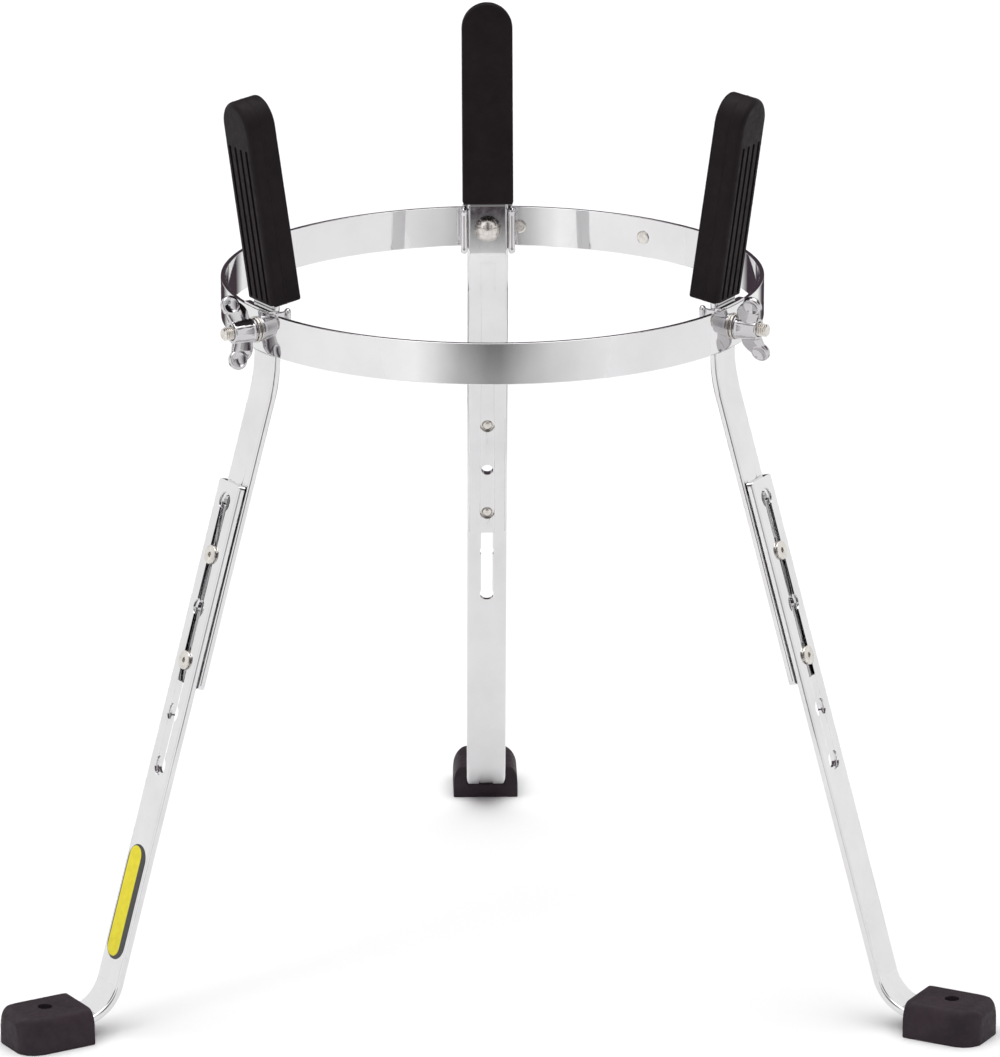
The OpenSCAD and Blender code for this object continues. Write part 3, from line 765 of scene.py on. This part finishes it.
border = label(-10, 10, -354, -282, LOWER_FACE, LOWER_FACE + 0.18)
face = label(-8.9, 4.6, -352.6, -283.4, LOWER_FACE + 0.1, LOWER_FACE + 0.26)
m = leg_matrix(LEGS["left"])
place(border, "left_label_border", "left_leg_label", m, M_DARK, "left_shin")
place(face, "left_label_face", "left_leg_label", m, M_LABEL, "left_shin")
drop(saddle, washer, nut, upper, bolt, pad, stud, lower, shoe, screw)
drop(band, strap, rivet, rivets, border, face)

# ---------------------------------------------------------------- studio
def emission(name, build=None, strength=1.0):
    """A glowing material; build gives its colour."""
    mat = bpy.data.materials.new(name)
    mat.use_nodes = True
    nt = mat.node_tree
    nt.nodes.clear()
    out = nt.nodes.new("ShaderNodeOutputMaterial")
    em = node(nt, "ShaderNodeEmission", Strength=strength)
    nt.links.new(em.outputs[0], out.inputs["Surface"])
    if build:
        nt.links.new(build(nt), em.inputs["Color"])
    return mat


def card(name, size, loc, rot, mat):
    """A studio card that only shows in reflections."""
    mesh = bpy.data.meshes.new(name)
    mesh.from_pydata([(-0.5, -0.5, 0), (0.5, -0.5, 0), (0.5, 0.5, 0), (-0.5, 0.5, 0)], [], [(0, 1, 2, 3)])
    ob = new_object(name, mesh)
    ob.scale = (size[0], size[1], 1)
    ob.location = loc
    ob.rotation_euler = [math.radians(a) for a in rot]
    mesh.materials.append(mat)
    ob.visible_camera = ob.visible_diffuse = ob.visible_shadow = False
    ob.visible_transmission = False
    return ob


def card_axes(nt):
    """A card's own coordinates: 0-1 along it, distance from its middle, and 0-1 up it."""
    tc = nt.nodes.new("ShaderNodeTexCoord")
    sep = nt.nodes.new("ShaderNodeSeparateXYZ")
    nt.links.new(tc.outputs["Object"], sep.inputs[0])
    out = []
    for axis, op in (("X", "ADD"), ("X", "ABSOLUTE"), ("Y", "ADD")):
        m = node(nt, "ShaderNodeMath", operation=op)
        if op == "ADD":
            m.inputs[1].default_value = 0.5
        nt.links.new(sep.outputs[axis], m.inputs[0])
        out.append(m.outputs[0])
    return out


def blend(nt, fac, a, b):
    """Mixes two colours by fac."""
    m = node(nt, "ShaderNodeMix", data_type="RGBA", blend_type="MIX")
    nt.links.new(fac, m.inputs["Factor"])
    nt.links.new(a, m.inputs[6])
    nt.links.new(b, m.inputs[7])
    return m.outputs[2]


def flag_shade(nt):
    """Dark in the middle of the card, fading to the white of the floor at both sides."""
    along, far, up = card_axes(nt)
    dark = (0.07, 0.052, 0.066)
    darker = (0.04, 0.030, 0.036)
    mask = ramp(nt, along, [(0.0, 1.0), (0.32, 1.0), (0.37, 0.78), (0.43, 0.25), (0.485, 0.0), (0.51, 0.0),
                            (0.56, 0.34), (0.62, 0.66), (0.70, 0.86), (0.80, 0.97), (0.90, 1.0)])
    middle = ramp(nt, up, [(0.0, 0.84), (0.028, 0.80), (0.041, 0.30), (0.050, darker), (0.056, darker),
                           (0.067, 0.34), (0.083, 0.17), (0.16, dark), (1.0, dark)])
    sides = ramp(nt, up, [(0.0, dark), (0.016, dark), (0.030, 0.22), (0.056, 0.26), (0.067, 0.34),
                          (0.083, 0.17), (0.15, dark), (1.0, dark)])
    core = ramp(nt, far, [(0.015, 0.0), (0.035, 1.0)])
    white = ramp(nt, along, [(0.0, 0.84), (0.33, 0.92), (0.40, 0.88), (0.6, 0.84), (1.0, 0.84)])
    return blend(nt, mask, blend(nt, core, middle, sides), white)


def soft_dark(nt):
    """Dark card with soft side edges."""
    far = card_axes(nt)[1]
    dark = (0.05, 0.037, 0.046)
    return ramp(nt, far, [(0.0, dark), (0.34, dark), (0.5, 0.84)])


floor_mesh = bpy.data.meshes.new("floor")
floor_mesh.from_pydata([(-20, -20, 0), (20, -20, 0), (20, 20, 0), (-20, 20, 0)], [], [(0, 1, 2, 3)])
floor = new_object("floor", floor_mesh)
floor_mesh.materials.append(shader("floor", (0.90, 0.90, 0.90), 0.0, 0.9, Specular_IOR_Level=0.0))

world = bpy.data.worlds.new("studio")
scene.world = world
world.use_nodes = True
nt = world.node_tree
tc = nt.nodes.new("ShaderNodeTexCoord")
sep = nt.nodes.new("ShaderNodeSeparateXYZ")
nt.links.new(tc.outputs["Generated"], sep.inputs[0])
col = ramp(nt, sep.outputs["Z"], [(0.0, 0.36), (0.19, 0.35), (0.26, (0.045, 0.036, 0.043)),
                                  (0.68, (0.03, 0.024, 0.029)), (0.78, 0.45), (0.88, 1.0)])
nt.links.new(col, nt.nodes["Background"].inputs["Color"])
nt.nodes["Background"].inputs["Strength"].default_value = 2.8


def area(name, loc, size, watts, aim=(0, 0, 0.3)):
    """A square softbox that looks at the stand."""
    light = bpy.data.lights.new(name, "AREA")
    light.shape, light.size, light.size_y, light.energy = "RECTANGLE", size, size, watts
    ob = bpy.data.objects.new(name, light)
    scene.collection.objects.link(ob)
    ob.location = loc
    ob.rotation_euler = (Vector(aim) - Vector(loc)).to_track_quat("-Z", "Y").to_euler()
    return ob


area("key", (-2.0, -1.9, 2.3), 0.6, 9)
card("front_flag", (4.0, 2.0), (0.0, -1.23, 1.0), (90, 0, 0), emission("front_flag", flag_shade, 1.3))
dark_mat = emission("dark_card", soft_dark, 1.3)
card("back_flag", (1.7, 1.5), (0.0, 1.15, 0.752), (90, 0, 0), dark_mat)
white_mat = emission("white_card", None, 1.08)
for s in (-1, 1):
    card("side_flag", (0.40, 0.55), (s * 0.65, 0.40, 0.004), (0, 0, 0), dark_mat)
    card("white_side", (0.95, 1.1), (s * 1.06, 0.50, 0.56), (90, 0, s * -47), white_mat)

# ---------------------------------------------------------------- camera
EL, AZ, ROLL = math.radians(16.96), math.radians(-1.043), math.radians(-0.136)
DISTANCE, AIM_Z = 4.5935, 0.25         # metres from the aim point on the ring's axis
LENS, SENSOR = 254.4965, 36            # millimetres
SHIFT_X, SHIFT_Y = 0.0064995, 0.0346168
fwd = Vector((-math.sin(AZ) * math.cos(EL), math.cos(AZ) * math.cos(EL), -math.sin(EL)))
level = Vector((math.cos(AZ), math.sin(AZ), 0))
up = level.cross(fwd)
right = level * math.cos(ROLL) + up * math.sin(ROLL)
up = up * math.cos(ROLL) - level * math.sin(ROLL)
cam = bpy.data.cameras.new("camera")
cam.sensor_fit, cam.sensor_height, cam.sensor_width = "VERTICAL", SENSOR, SENSOR
cam.lens = LENS
cam.shift_x, cam.shift_y = SHIFT_X, SHIFT_Y
cam.clip_end = 60
cam_ob = bpy.data.objects.new("camera", cam)
scene.collection.objects.link(cam_ob)
pos = Vector((0, AXIS_Y / 1000, AIM_Z)) - fwd * DISTANCE
cam_ob.matrix_world = Matrix((
    (right.x, up.x, -fwd.x, pos.x), (right.y, up.y, -fwd.y, pos.y),
    (right.z, up.z, -fwd.z, pos.z), (0, 0, 0, 1)))
scene.camera = cam_ob
scene.view_settings.view_transform = "Standard"
